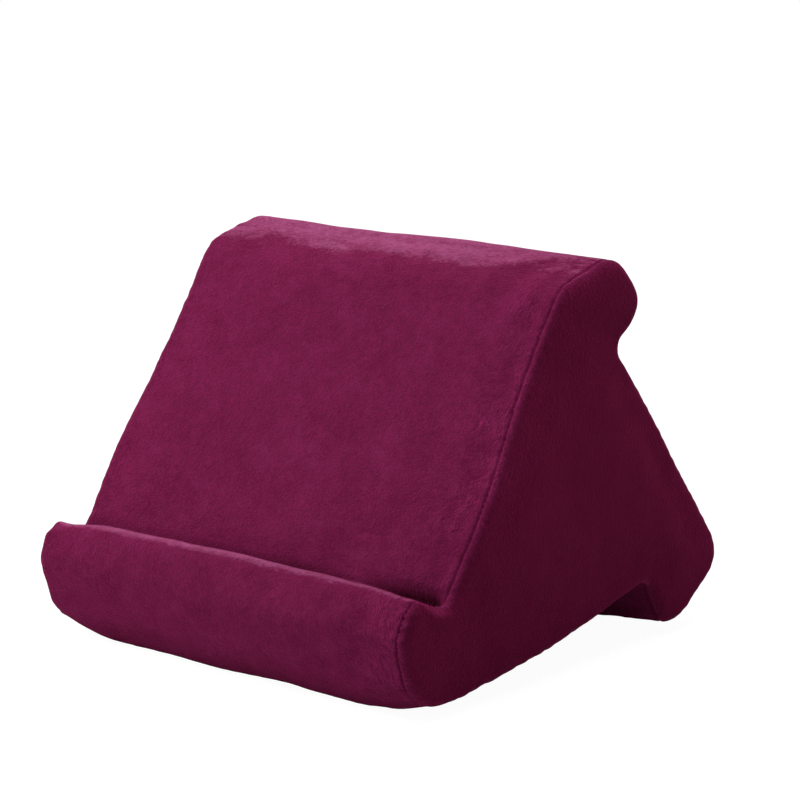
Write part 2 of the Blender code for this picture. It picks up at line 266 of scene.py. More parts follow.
def edge_row(side, reach):
    """Points and normals all round the cover, at a reach over its edge from where the wrap turns in."""
    turn = min(reach / EDGE_ROUND, math.pi / 2)
    inset = EDGE_ROUND * (1.0 - math.cos(turn)) + max(reach - QUARTER, 0.0)
    width = EDGE_WIDTH[side] + EDGE_ROUND * math.sin(turn)
    ring = between_rings(END_RINGS, inset)
    normal = between_rings(END_NORMALS, inset)
    points = np.column_stack([side * width, ring])
    normals = np.column_stack([np.full(RING_COUNT, side * math.sin(turn)), normal * math.cos(turn)])
    return points, normals


def wrap_row(places):
    """Points and normals all round the wrap, at a place across it for each point of the ring."""
    right = np.maximum(EDGE_WIDTH[1.0] - places, 0.0)
    left = np.maximum(EDGE_WIDTH[-1.0] + places, 0.0)
    amount = np.exp(-((right / PINCH_REACH) ** PINCH_SHARPNESS))
    amount += np.exp(-((left / PINCH_REACH) ** PINCH_SHARPNESS))
    ring = pinched(np.minimum(amount, 1.0))
    sag = CREST_SAG * np.exp(-(((places - SAG_PLACE) / SAG_SPREAD) ** 2))
    ring[:, 1] -= sag * np.exp(-(((ring[:, 1] - TOP) / CREST_SPREAD) ** 2))
    normals = np.column_stack([np.zeros(RING_COUNT), outward_normals(ring)])
    return np.column_stack([places, ring]), normals


SEAM_DEPTH = 0.0016
SEAM_WIDTH = 0.0009
STITCH_PITCH = 0.0036
GROOVE_SHARE = 0.7
CROSSED_SHARE = 1.3
CROSSED_SCALE = 30.0
ROLL_PLACE = 0.0030
ROLL_WIDTH = 0.0022


def seam_profile(distance, along, roll):
    """How far the cloth stands out near the seam: a groove, which the pile crosses, and a low roll."""
    stitches = math.sin(2 * math.pi * along / STITCH_PITCH)
    pile = noise.noise(Vector((along * CROSSED_SCALE, 0.0, 0.0)))
    crossed = GROOVE_SHARE + CROSSED_SHARE * stitches * pile
    groove = -SEAM_DEPTH * crossed * math.exp(-((distance / SEAM_WIDTH) ** 2))
    return groove + roll * math.exp(-(((distance - ROLL_PLACE) / ROLL_WIDTH) ** 2))


WRAP_ROLL = 0.00012
PUCKER_HEIGHT = 0.0010
PUCKER_PITCH = 0.0050
PUCKER_REACH = 0.011
PUCKER_LENGTH = 0.02
PUCKER_MEAN = 0.5
PUCKER_LEAST = 0.15
PUCKER_PATCH_SCALE = (9.0, 4.0)
PUCKER_SEED = 3.1
SWELL_HEIGHT = 0.0012
SWELL_SIZE = 0.055
FINER_SWELL_SHARE = 0.4
FINER_SWELL_SCALE = 2.7
ZIP_STILL = 0.020


def swell(point):
    """Low swells and dents over the whole cover, which die out beside the zip."""
    spot = Vector(point) / SWELL_SIZE
    height = noise.noise(spot) + FINER_SWELL_SHARE * noise.noise(spot * FINER_SWELL_SCALE)
    to_zip = math.hypot(*(np.array(point[1:]) - zip_middle))
    return SWELL_HEIGHT * height * (1.0 - math.exp(-((to_zip / ZIP_STILL) ** 2)))


# Small bunches of cloth at the left end and beside the lip's right seam: (place, width, height)
BUNCHES = (
    ((-0.137, 0.021, 0.232), 0.0045, 0.0009),
    ((-0.137, -0.113, 0.069), 0.0055, 0.0026),
    ((-0.139, -0.135, 0.071), 0.0040, 0.0012),
    ((-0.140, -0.141, 0.069), 0.0036, -0.0018),
    ((-0.140, -0.147, 0.064), 0.0040, 0.0012),
    ((0.124, -0.149, 0.067), 0.0065, 0.0009),
    ((0.121, -0.151, 0.054), 0.0070, 0.0008),
    ((0.112, -0.150, 0.060), 0.0080, -0.0006),
)
BUNCH_REACH = 3.0

# The ledge's inner corner is drawn in to a crease, which deepens towards the right seam and ends short of it
CREASE_PLACE = (-0.1125, 0.0640)
CREASE_WIDTH = 0.0045
CREASE_DEPTH = 0.0080
CREASE_START = 0.080
CREASE_END = 0.1345
CREASE_CLOSING = 0.0018


def crease(point):
    """How far in the ledge's crease draws the cloth at a point."""
    across = math.exp(-((math.dist(point[1:], CREASE_PLACE) / CREASE_WIDTH) ** 2))
    deeper = min(max((point[0] - CREASE_START) / (CREASE_END - CREASE_START), 0.0), 1.0)
    inside = 1.0 / (1.0 + math.exp((point[0] - CREASE_END) / CREASE_CLOSING))
    return CREASE_DEPTH * across * deeper * inside


def bunched(point):
    """How far the bunches of cloth lift a point, less the crease."""
    height = -crease(point)
    for place, width, rise in BUNCHES:
        gap = math.dist(place, point)
        if gap < BUNCH_REACH * width:
            height += rise * math.exp(-((gap / width) ** 2))
    return height


def pucker(point, along, distance):
    """Small gathers that cross the seam and die out away from it."""
    patch = Vector((along * PUCKER_PATCH_SCALE[0], point[0] * PUCKER_PATCH_SCALE[1], PUCKER_SEED))
    strength = max(PUCKER_MEAN + noise.noise(patch), PUCKER_LEAST)
    ridge = noise.noise(Vector((along / PUCKER_PITCH, distance / PUCKER_LENGTH, point[0])))
    return PUCKER_HEIGHT * strength * ridge * math.exp(-distance / PUCKER_REACH)


def bridge(mesh, first, second, skip=range(0)):
    """Faces between two closed rows of vertices, apart from the columns to skip."""
    for index in range(len(first)):
        if index in skip:
            continue
        after = (index + 1) % len(first)
        mesh.faces.new((first[index], first[after], second[after], second[index]))


RING_CLEARANCE = 0.6
WELD_GAP = 1e-7


def inside_points(ring, spacing):
    """A triangle grid of points inside a ring, with how far each lies from it."""
    low = ring.min(axis=0)
    high = ring.max(axis=0)
    following = np.roll(ring, -1, axis=0)
    spans = following - ring
    found = []
    for row, height in enumerate(np.arange(low[1], high[1], spacing * math.sqrt(3.0) / 2)):
        crossing = (ring[:, 1] > height) != (following[:, 1] > height)
        share = (height - ring[crossing, 1]) / spans[crossing, 1]
        walls = ring[crossing, 0] + share * spans[crossing, 0]
        for depth in np.arange(low[0] + (row % 2) * spacing / 2, high[0], spacing):
            if np.count_nonzero(walls > depth) % 2 == 0:
                continue
            offset = np.array((depth, height)) - ring
            nearest = np.clip((offset * spans).sum(axis=1) / (spans ** 2).sum(axis=1), 0.0, 1.0)
            gap = np.linalg.norm(offset - spans * nearest[:, None], axis=1).min()
            if gap > spacing * RING_CLEARANCE:
                found.append((depth, height, gap))
    return found


def fill_ring(mesh, ring, spacing, place):
    """Faces across a closed ring of vertices. Inner points are set by depth, height and gap to the ring."""
    flat = [Vector((vert.co.y, vert.co.z)) for vert in ring]
    inner = inside_points(np.array(flat), spacing)
    verts = list(ring) + [mesh.verts.new(place(*point)) for point in inner]
    flat += [Vector(point[:2]) for point in inner]
    edges = [(index, (index + 1) % len(ring)) for index in range(len(ring))]
    found = geometry.delaunay_2d_cdt(flat, edges, [], 1, WELD_GAP)
    for corners in found[2]:
        mesh.faces.new([verts[found[3][index][0]] for index in corners])


def face_outwards(mesh, side):
    """Turns all faces so that the one furthest out on the side looks outwards."""
    bmesh.ops.recalc_face_normals(mesh, faces=mesh.faces)
    outer = max(mesh.faces, key=lambda face: face.calc_center_median().x * side)
    if outer.normal.x * side < 0.0:
        bmesh.ops.reverse_faces(mesh, faces=mesh.faces)


END_TURNS = (90, 60, 30, 0)


def closed_form(half, edge, spacing, row):
    """A closed mesh from rings across the cushion, which draw in over a rounded edge at both ends."""
    mesh = bmesh.new()
    turns = [math.radians(angle) for angle in END_TURNS]
    profile = [(half - edge * (1 - math.sin(turn)), edge * (1 - math.cos(turn))) for turn in turns]
    flat_half = profile[-1][0]
    places = [(-place, inset) for place, inset in profile]
    between = np.linspace(-flat_half, flat_half, round(2 * flat_half / spacing))[1:-1]
    places += [(place, 0.0) for place in between]
    places += profile[::-1]
    rings = [[mesh.verts.new(point) for point in row(place, inset)] for place, inset in places]
    for first, second in zip(rings, rings[1:]):
        bridge(mesh, first, second)
    for ring, place in ((rings[0], -half), (rings[-1], half)):
        fill_ring(mesh, ring, spacing, lambda depth, height, gap: Vector((place, depth, height)))
    face_outwards(mesh, 1.0)
    return mesh


# How the foam presses the cover out is found by a cloth simulation on a coarse closed copy of the cover. It
# is held along the seams, beside the zip and where it stands on the floor.
PRESS_VOXEL = 0.006
PRESS_INSET = 0.0015
PRESS_EDGE = 0.006
PRESS_COARSER = 5
PRESSURE = 4.0
PRESS_FRAMES = 20
PRESS_SPARE = -0.012
PRESS_SHARE = 0.5
PRESS_IN_CAP = -0.0006
PRESS_OUT_CAP = 0.0026
HELD_BY_SEAM = 0.008
HELD_BY_ZIP = 0.022
HELD_BY_FLOOR = 0.003
HELD_EVERY = 3
NEAREST_POINTS = 5
NEAREST_GAP = 0.001


def press_row(place, inset):
    """A ring of the coarse copy at a place across it."""
    ring = resample(wrap_row(np.full(RING_COUNT, place))[0][:, 1:], RING_COUNT // PRESS_COARSER)
    ring = stepped_in(ring, round((PRESS_INSET + inset) / INSET_STEP))[-1]
    return [Vector((place, *point)) for point in ring]


def held_share(spot, seam_points):
    """How firmly a point of the cloth is held, from 0 to 1."""
    if spot.z < HELD_BY_FLOOR:
        return 1.0
    to_seam = seam_points.find(spot)[2]
    to_zip = math.dist(spot[1:], zip_middle)
    return max(math.exp(-((to_seam / HELD_BY_SEAM) ** 2)), math.exp(-((to_zip / HELD_BY_ZIP) ** 4)))


def press_cloth():
    """The places of the coarse cloth's points, and how far the simulation moved each."""
    half = float(min(EDGE_WIDTH[-1.0].min(), EDGE_WIDTH[1.0].min())) + EDGE_ROUND - PRESS_INSET
    mesh = closed_form(half, PRESS_EDGE, PRESS_VOXEL, press_row)
    data = bpy.data.meshes.new("pressed_cover")
    mesh.to_mesh(data)
    mesh.free()
    cover = bpy.data.objects.new("pressed_cover", data)
    bpy.context.scene.collection.objects.link(cover)
    remesh = cover.modifiers.new("even_grid", "REMESH")
    remesh.mode = "VOXEL"
    remesh.voxel_size = PRESS_VOXEL
    even = bpy.data.meshes.new_from_object(cover.evaluated_get(bpy.context.evaluated_depsgraph_get()))
    cover.modifiers.remove(remesh)
    cover.data = even
    seam_spots = [edge_row(side, SEAM_REACH[side])[0][::HELD_EVERY] for side in (-1.0, 1.0)]
    seam_points = KDTree(sum(len(spots) for spots in seam_spots))
    for number, spot in enumerate(np.vstack(seam_spots)):
        seam_points.insert(spot, number)
    seam_points.balance()
    held = cover.vertex_groups.new(name="held")
    for vertex in even.vertices:
        held.add([vertex.index], held_share(vertex.co, seam_points), "REPLACE")
    cloth = cover.modifiers.new("plush_cloth", "CLOTH")
    cloth.settings.vertex_group_mass = "held"
    cloth.settings.use_pressure = True
    cloth.settings.uniform_pressure_force = PRESSURE
    cloth.settings.shrink_min = PRESS_SPARE
    cloth.settings.effector_weights.gravity = 0.0
    cloth.point_cache.frame_start = 1
    cloth.point_cache.frame_end = PRESS_FRAMES
    for number in range(1, PRESS_FRAMES + 1):
        bpy.context.scene.frame_set(number)
    bpy.ops.object.select_all(action="DESELECT")
    bpy.context.view_layer.objects.active = cover
    starts = np.array([vertex.co[:] for vertex in even.vertices])
    bpy.ops.object.modifier_apply(modifier=cloth.name)
    moves = np.array([vertex.co[:] for vertex in cover.data.vertices]) - starts
    bpy.context.scene.frame_set(1)
    bpy.data.objects.remove(cover)
    tree = KDTree(len(starts))
    for number, start in enumerate(starts):
        tree.insert(start, number)
    tree.balance()
    return tree, moves


pressed = press_cloth()


def pressed_out(point, normal, distance):
    """How far the simulation moved the cloth out at a point, none of it at the seam."""
    if pressed is None:
        return 0.0
    tree, moves = pressed
    total = 0.0
    shares = 0.0
    for _, number, gap in tree.find_n(point, NEAREST_POINTS):
        share = 1.0 / (gap + NEAREST_GAP)
        total += share * float(moves[number] @ normal)
        shares += share
    cap = PRESS_OUT_CAP if total > 0.0 else PRESS_IN_CAP
    press = cap * math.tanh(PRESS_SHARE * total / shares / cap)
    return press * (1.0 - math.exp(-((distance / HELD_BY_SEAM) ** 2)))


def dressed(points, normals, distances, roll=WRAP_ROLL):
    """A row's points moved by the seam's groove and roll, gathers and swells, but not under the floor."""
    row = []
    for index, (point, normal) in enumerate(zip(points, normals)):
        distance = distances[index]
        lift = seam_profile(distance, ALONG[index], roll) + pucker(point, ALONG[index], distance)
        lift += swell(point) + bunched(point) + pressed_out(point, normal, distance)
        moved = point + normal * lift
        row.append(Vector((moved[0], moved[1], max(moved[2], 0.0))))
    return row


FROM_SEAM = (0.0, 0.0004, 0.0008, 0.0013, 0.0019, 0.0026, 0.0035, 0.0046, 0.0060, 0.0078, 0.0100)
BLEND_ROWS = 3
MIDDLE_STEP = 0.0040


def edge_rows(side):
    """Rows of the wrap from one seam in to the line where its even middle starts."""
    rows = []
    for distance in FROM_SEAM:
        reach = SEAM_REACH[side] - distance
        if reach >= 0.0:
            points, normals = edge_row(side, reach)
        else:
            points, normals = wrap_row(side * (EDGE_WIDTH[side] + reach))
        rows.append(dressed(points, normals, np.full(RING_COUNT, distance)))
    last = EDGE_WIDTH[side] + SEAM_REACH[side] - FROM_SEAM[-1]
    for step in range(1, BLEND_ROWS):
        place = last + (slot_end - last) * step / BLEND_ROWS
        points, normals = wrap_row(side * place)
        rows.append(dressed(points, normals, EDGE_WIDTH[side] + SEAM_REACH[side] - place))
    return rows


def wrap_rows():
    """Rows of the wrap from the left seam to the right one, and the numbers of the slot's end rows."""
    steps = math.ceil(2 * slot_end / MIDDLE_STEP)
    middle = []
    for place in np.linspace(-slot_end, slot_end, steps + 1):
        points, normals = wrap_row(np.full(RING_COUNT, place))
        to_right = EDGE_WIDTH[1.0] + SEAM_REACH[1.0] - place
        nearest = np.minimum(to_right, EDGE_WIDTH[-1.0] + SEAM_REACH[-1.0] + place)
        middle.append(dressed(points, normals, nearest))
    left = edge_rows(-1.0)
    right = edge_rows(1.0)
    return left + middle + right[::-1], (len(left), len(left) + steps)


def make_piece(name, mesh, material, body):
    """A piece from its mesh, shaded smooth, riding on its body."""
    data = bpy.data.meshes.new(name)
    mesh.to_mesh(data)
    mesh.free()
    piece = bpy.data.objects.new(name, data)
    bpy.context.scene.collection.objects.link(piece)
    data.materials.append(material)
    data.shade_smooth()
    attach(piece, body)
    return piece


def new_finish(name):
    """A material with its Principled shader, and the functions that add a node and join two sockets."""
    material = bpy.data.materials.new(name)
    material.use_nodes = True
    tree = material.node_tree
    shader = tree.nodes["Principled BSDF"]

    def add(kind, **settings):
        node = tree.nodes.new(kind)
        for key, value in settings.items():
            if key in node.inputs:
                node.inputs[key].default_value = value
            else:
                setattr(node, key, value)
        return node

    return material, shader, add, tree.links.new


def finish_value(tree, operation, *values):
    """Numbers of a finish put together. Each is given as a number or as the socket that it comes from."""
    node = tree.nodes.new("ShaderNodeMath")
    node.operation = operation
    for socket, value in zip(node.inputs, values):
        if isinstance(value, float):
            socket.default_value = value
        else:
            tree.links.new(value, socket)
    return node.outputs["Value"]


def finish_between(tree, value, low, high, start=0.0, end=1.0):
    """A value of a finish that goes from start at low to end at high, and stays between them."""
    node = tree.nodes.new("ShaderNodeMapRange")
    for name, number in (("From Min", low), ("From Max", high), ("To Min", start), ("To Max", end)):
        node.inputs[name].default_value = number
    tree.links.new(value, node.inputs["Value"])
    return node.outputs["Result"]


def finish_shades(add, join, stops, share):
    """A finish's colour, from dark to light, between two or more (position, colour) stops."""
    node = add("ShaderNodeValToRGB")
    ramp = node.color_ramp
    for element, (position, colour) in zip(ramp.elements, (stops[0], stops[-1])):
        element.position = position
        element.color = colour
    for position, colour in stops[1:-1]:
        ramp.elements.new(position).color = colour
    join(share, node.inputs["Fac"])
    return node.outputs["Color"]


def finish_relief(add, join, shader, height, strength, distance):
    """Fine relief of a finish, such as pile, weave or scratches, from a texture's height."""
    bump = add("ShaderNodeBump", Strength=strength, Distance=distance)
    join(height, bump.inputs["Height"])
    join(bump.outputs["Normal"], shader.inputs["Normal"])


PLUSH_DARK = (0.118, 0.0069, 0.0375, 1.0)
PLUSH_MID = (0.162, 0.0114, 0.060, 1.0)
PLUSH_LIGHT = (0.230, 0.0210, 0.093, 1.0)
# Painted sheen: a light pink laid on where the cloth faces up along the crest, for the light that the pile
# catches there.
PLUSH_PAINTED_SHEEN = (0.46, 0.119, 0.276, 1.0)
# Painted shade: a darker copy of the plush where the cloth faces left or right, for the lower light on the
# side panels.
PLUSH_PAINTED_SIDE_SHADE = (0.101, 0.0018, 0.019, 1.0)
# Painted shadow in the cleft between the face and the lip.
PLUSH_PAINTED_CLEFT_SHADE = (0.018, 0.0006, 0.004, 1.0)
PLUSH_SHEEN = (1.0, 0.07, 0.32, 1.0)

# What each layer of texture adds, and where the pile and its painted sheen and shade change: (where it
# starts, where it is full)
MOTTLE_SHARE = 0.8
GRAIN_SHARE = 1.6
SHADE_SHIFT = -1.1
TUFT_SHARE = 0.18
STREAK_SHARE = 0.13
RIGHT_DROP = -0.040
RIGHT_FROM_TO = (0.040, 0.130)
PAINTED_SHEEN_FROM_TO = (1.075, 1.185)
SIDE_SHADE_FULL = 0.75
SIDE_SHADE_FROM_TO = (0.55, 1.0)
CRUSHED_FULL = 2.2
CRUSHED_FROM_TO = (0.46, 0.60)
BY_SEAM_FROM_TO = (0.100, 0.122)
OFF_SIDE_FROM_TO = (0.25, 0.60)
CLEFT_SHADE_SLOPE = -0.11
CLEFT_SHADE_FROM_TO = (
    ("above_lip", 0.0710, 0.0664),
    ("Z", 0.0500, 0.0560),
    ("Y", -0.1225, -0.1200),
    ("Y", -0.0950, -0.0980),
    ("X", 0.1385, 0.1335),
    ("X", -0.3000, 0.0600),
)


def plush_material():
    """Short pile in patches that lie different ways; painted sheen on the crest, painted shade on the sides
    and behind the lip.
    """
    material, shader, add, join = new_finish("burgundy_plush")
    tree = material.node_tree
    place = add("ShaderNodeTexCoord")
    patches = add("ShaderNodeTexNoise", Scale=34.0, Detail=4.0, Roughness=0.65, Distortion=0.3)
    streaks = add("ShaderNodeTexNoise", Scale=160.0, Detail=3.0, Roughness=0.65, Distortion=0.8)
    grain = add("ShaderNodeTexNoise", Scale=760.0, Detail=4.0, Roughness=0.75)
    tufts = add("ShaderNodeTexNoise", Scale=520.0, Detail=3.0, Roughness=0.7, Distortion=0.9)
    for texture in (patches, streaks, grain, tufts):
        join(place.outputs["Object"], texture.inputs["Vector"])
    facing = add("ShaderNodeNewGeometry")
    axes = add("ShaderNodeSeparateXYZ")
    join(facing.outputs["Normal"], axes.inputs["Vector"])
    spot = add("ShaderNodeSeparateXYZ")
    join(place.outputs["Object"], spot.inputs["Vector"])

    mottle = finish_value(tree, "MULTIPLY_ADD", patches.outputs["Fac"], MOTTLE_SHARE, streaks.outputs["Fac"])
    speckle = finish_value(tree, "MULTIPLY_ADD", grain.outputs["Fac"], GRAIN_SHARE, mottle)
    shade = finish_value(tree, "ADD", speckle, SHADE_SHIFT)
    stops = ((0.25, PLUSH_DARK), (0.6, PLUSH_MID), (1.0, PLUSH_LIGHT))
    colour = finish_shades(add, join, stops, shade)

    # Painted sheen on the crest: lighter where the cloth faces up, less towards the right end, with an uneven
    # edge from tufts and streaks.
    less_right = finish_between(tree, spot.outputs["X"], *RIGHT_FROM_TO, end=RIGHT_DROP)
    facing_up_less_right = finish_value(tree, "ADD", axes.outputs["Z"], less_right)
    facing_up_with_tufts = finish_value(tree, "MULTIPLY_ADD", tufts.outputs["Fac"], TUFT_SHARE, facing_up_less_right)
    upward = finish_value(tree, "MULTIPLY_ADD", streaks.outputs["Fac"], STREAK_SHARE, facing_up_with_tufts)
    painted_sheen_on_top = finish_between(tree, upward, *PAINTED_SHEEN_FROM_TO)
    sideways = finish_value(tree, "ABSOLUTE", axes.outputs["X"])
    # Painted shade on both side panels, by how far the cloth faces left or right.
    painted_shade_on_side = finish_between(tree, sideways, *SIDE_SHADE_FROM_TO, end=SIDE_SHADE_FULL)

    # Painted shadow in the cleft: a band just above the lip's edge, lower and darker towards the right, that
    # ends short of the right seam.
    measures = {axis: spot.outputs[axis] for axis in "XYZ"}
    measures["above_lip"] = finish_value(tree, "MULTIPLY_ADD", less_right, CLEFT_SHADE_SLOPE, spot.outputs["Z"])
    painted_cleft_shade = 1.0
    for measure, none, full in CLEFT_SHADE_FROM_TO:
        inside = finish_between(tree, measures[measure], none, full)
        painted_cleft_shade = finish_value(tree, "MULTIPLY", painted_cleft_shade, inside)

    # The pile's colour, with the painted side shade, the painted sheen and the painted cleft shadow laid over
    # it in turn.
    for share, tint in ((painted_shade_on_side, PLUSH_PAINTED_SIDE_SHADE), (painted_sheen_on_top, PLUSH_PAINTED_SHEEN), (painted_cleft_shade, PLUSH_PAINTED_CLEFT_SHADE)):
        tinted = add("ShaderNodeMix", data_type="RGBA")
        join(share, tinted.inputs["Factor"])
        join(colour, tinted.inputs[6])
        tinted.inputs[7].default_value = tint
        colour = tinted.outputs[2]
    join(colour, shader.inputs["Base Color"])

    stretch = add("ShaderNodeMapping", Scale=(1.0, 0.4, 0.4), Rotation=(0.0, 0.5, 0.0))
    crushed = add("ShaderNodeTexNoise", Scale=330.0, Detail=2.0, Roughness=0.5, Distortion=1.6)
    join(place.outputs["Object"], stretch.inputs["Vector"])
    join(stretch.outputs["Vector"], crushed.inputs["Vector"])
    by_seam = finish_between(tree, spot.outputs["X"], *BY_SEAM_FROM_TO)
    off_side = finish_between(tree, sideways, *OFF_SIDE_FROM_TO, start=1.0, end=0.0)
    here = finish_between(tree, patches.outputs["Fac"], *CRUSHED_FROM_TO, end=CRUSHED_FULL)
    beside = finish_value(tree, "MULTIPLY", by_seam, off_side)
    marks = finish_value(tree, "MULTIPLY", beside, here)
    crush = finish_value(tree, "MULTIPLY", marks, crushed.outputs["Fac"])
    pile = finish_value(tree, "ADD", grain.outputs["Fac"], tufts.outputs["Fac"])
    finish_relief(add, join, shader, finish_value(tree, "ADD", pile, crush), strength=1.0, distance=0.0016)
    shader.inputs["Roughness"].default_value = 0.9
    shader.inputs["Specular IOR Level"].default_value = 0.02
    shader.inputs["Sheen Weight"].default_value = 0.6
    shader.inputs["Sheen Roughness"].default_value = 0.3
    shader.inputs["Sheen Tint"].default_value = PLUSH_SHEEN
    return material


plush = plush_material()
rows, slot_rows = wrap_rows()
wrap_mesh = bmesh.new()
wrap_verts = [[wrap_mesh.verts.new(point) for point in row] for row in rows]
for number, (first, second) in enumerate(zip(wrap_verts, wrap_verts[1:])):
    in_slot = slot_rows[0] <= number < slot_rows[1]
    bridge(wrap_mesh, first, second, range(*slot_columns) if in_slot else range(0))
bmesh.ops.delete(wrap_mesh, geom=[vert for vert in wrap_mesh.verts if not vert.link_faces], context="VERTS")

# The slot's edges are turned in and under, as (further in, further out) from where they start
HEM_STEPS = ((0.0004, -0.0003), (0.0004, -0.0010), (-0.0030, -0.0013))
AT_SLOT_END = 1e-4
AT_SLOT_EDGE = 1e-3


def slot_place(vert):
    """Where a vertex lies down the back and out of it, measured from the zip's middle."""
    offset = np.array(vert.co[1:]) - zip_middle
    return offset @ zip_down, offset @ zip_out


def turn_in(vert, start, inward, outward):
    """Moves a vertex of the hem further into the slot, and in or out, from the edge vertex it came from."""
    down, _ = slot_place(start)
    step = Vector((0.0, 0.0, 0.0))
    if abs(start.co.x) > slot_end - AT_SLOT_END:
        step.x = -math.copysign(inward, start.co.x)
    if abs(down) > SLOT_HALF_OPENING - AT_SLOT_EDGE:
        step += Vector((0.0, *zip_down)) * -math.copysign(inward, down)
    vert.co = start.co + step + Vector((0.0, *zip_out)) * outward


def hem_slot(mesh):
    """Turns the edges of the slot in, one strip of faces for each step."""
    edges = []
    for edge in mesh.edges:
        if not edge.is_boundary:
            continue
        spots = [slot_place(vert) for vert in edge.verts]
        if all(abs(down) < 2 * SLOT_HALF_OPENING and abs(out) < ON_BACK for down, out in spots):
            edges.append(edge)
    starts = {vert: vert for edge in edges for vert in edge.verts}
    for inward, outward in HEM_STEPS:
        before = starts
        made = bmesh.ops.extrude_edge_only(mesh, edges=edges)["geom"]
        edges = [item for item in made if isinstance(item, bmesh.types.BMEdge)]
        starts = {}
        for vert in (item for item in made if isinstance(item, bmesh.types.BMVert)):
            neighbours = (edge.other_vert(vert) for edge in vert.link_edges)
            starts[vert] = next(before[other] for other in neighbours if other in before)
        for vert, start in starts.items():
            turn_in(vert, start, inward, outward)


hem_slot(wrap_mesh)
wrap = make_piece("cover_wrap", wrap_mesh, plush, "cushion")
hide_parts("wrap_panel")

# Side panels
# Two panels of the same plush, cut to the section. Each is sewn to the wrap all round, right sides together,
# so its edge rolls into the seam and its middle stands proud of the foam.
PUFF_HEIGHT = 0.0012
PUFF_REACH = 0.025
FILL_SPACING = 0.0040
SIDE_ROLL = 0.00035


def puff(depth_in):
    """How far the panel stands proud at a distance in from where it has turned onto the side."""
    return PUFF_HEIGHT * (1.0 - math.exp(-max(depth_in, 0.0) / PUFF_REACH))


def make_side(name, side):
    """A side panel: rings in from the seam, then a grid of points across its middle."""
    mesh = bmesh.new()
    rings = []
    for distance in FROM_SEAM:
        points, normals = edge_row(side, SEAM_REACH[side] + distance)
        points[:, 0] += side * puff(SEAM_REACH[side] + distance - QUARTER)
        row = dressed(points, normals, np.full(RING_COUNT, distance), SIDE_ROLL)
        rings.append([mesh.verts.new(point) for point in row])
    for first, second in zip(rings, rings[1:]):
        bridge(mesh, first, second)

    edge = SEAM_REACH[side] + FROM_SEAM[-1] - QUARTER

    def place(depth, height, gap):
        width = half_width(np.array([(depth, height)]), side)[0]
        spot = Vector((side * (width + puff(edge + gap)), depth, height))
        outward = np.array((side, 0.0, 0.0))
        spot.x += side * (swell(spot) + pressed_out(spot, outward, FROM_SEAM[-1] + gap))
        return spot

    fill_ring(mesh, rings[-1], FILL_SPACING, place)
    face_outwards(mesh, side)
    return make_piece(name, mesh, plush, "cushion")


for name, side, node in (
    ("cover_side_left", -1.0, "left_side_panel"),
    ("cover_side_right", 1.0, "right_side_panel"),
):
    panel = make_side(name, side)
    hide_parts(node)

# Foam core
# One block of open-cell foam, cut with a hot wire to the three-armed section. The cover squeezes its edges,
# and it gives way behind the zip.
FOAM_INSET = 0.0030
FOAM_COARSER = 4
FOAM_EDGE = 0.007
FOAM_HOLLOW = 0.0022
FOAM_HOLLOW_WIDTH = 0.013
FOAM_STEP = 0.006
FOAM_CREAM = (0.80, 0.74, 0.58, 1.0)
FOAM_SHADE = (0.62, 0.54, 0.38, 1.0)
FOAM_CELLS = 900.0


def foam_material():
    """Cream foam with fine open cells."""
    material, shader, add, join = new_finish("open_cell_foam")
    place = add("ShaderNodeTexCoord")
    cells = add("ShaderNodeTexVoronoi", Scale=FOAM_CELLS)
    join(place.outputs["Object"], cells.inputs["Vector"])
    stops = ((0.0, FOAM_SHADE), (1.0, FOAM_CREAM))
    join(finish_shades(add, join, stops, cells.outputs["Distance"]), shader.inputs["Base Color"])
    finish_relief(add, join, shader, cells.outputs["Distance"], strength=0.5, distance=0.0006)
    shader.inputs["Roughness"].default_value = 0.95
    return material


def foam_row(place, inset):
    """A ring of the foam at a place across it, moved in from the cover."""
    points, normals = wrap_row(np.full(RING_COUNT, place))
    dents = np.array([min(bunched(point), 0.0) for point in points])
    ring = resample((points + normals * dents[:, None])[:, 1:], RING_COUNT // FOAM_COARSER)
    ring = stepped_in(ring, round((FOAM_INSET + inset) / INSET_STEP))[-1]
    to_zip = np.linalg.norm(ring - zip_middle, axis=1)
    hollow = FOAM_HOLLOW * np.exp(-((to_zip / FOAM_HOLLOW_WIDTH) ** 4))
    ring = ring - outward_normals(ring) * hollow[:, None]
    return [Vector((place, *point)) for point in ring]


foam_half = float(min(EDGE_WIDTH[-1.0].min(), EDGE_WIDTH[1.0].min())) - FOAM_INSET
foam_mesh = closed_form(foam_half, FOAM_EDGE, FOAM_STEP, foam_row)
foam = make_piece("foam_block", foam_mesh, foam_material(), "cushion")
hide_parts("foam_core")

# Slot stitching
# One row of lockstitch in matching thread. It runs round the slot and holds the turned-in cloth down on the
# zip's tapes.
STITCH_EDGE_GAP = 0.0026
STITCH_STEP = 0.0032
STITCH_LENGTH = 0.0025
THREAD_RADIUS = 0.00030
THREAD_RISE = 0.00045
THREAD_DIP = 0.00070
# The dark end is the thread's colour with painted shade between the plies.
THREAD_DARK = (0.19, 0.012, 0.065, 1.0)
THREAD_LIGHT = (0.36, 0.040, 0.140, 1.0)
THREAD_SIDES = 6
STITCH_POINTS = 7


def zip_point(along, down, out):
    """A point from its place along the zip, down the back and out of it."""
    return Vector((along, *(zip_middle + zip_down * down + zip_out * out)))


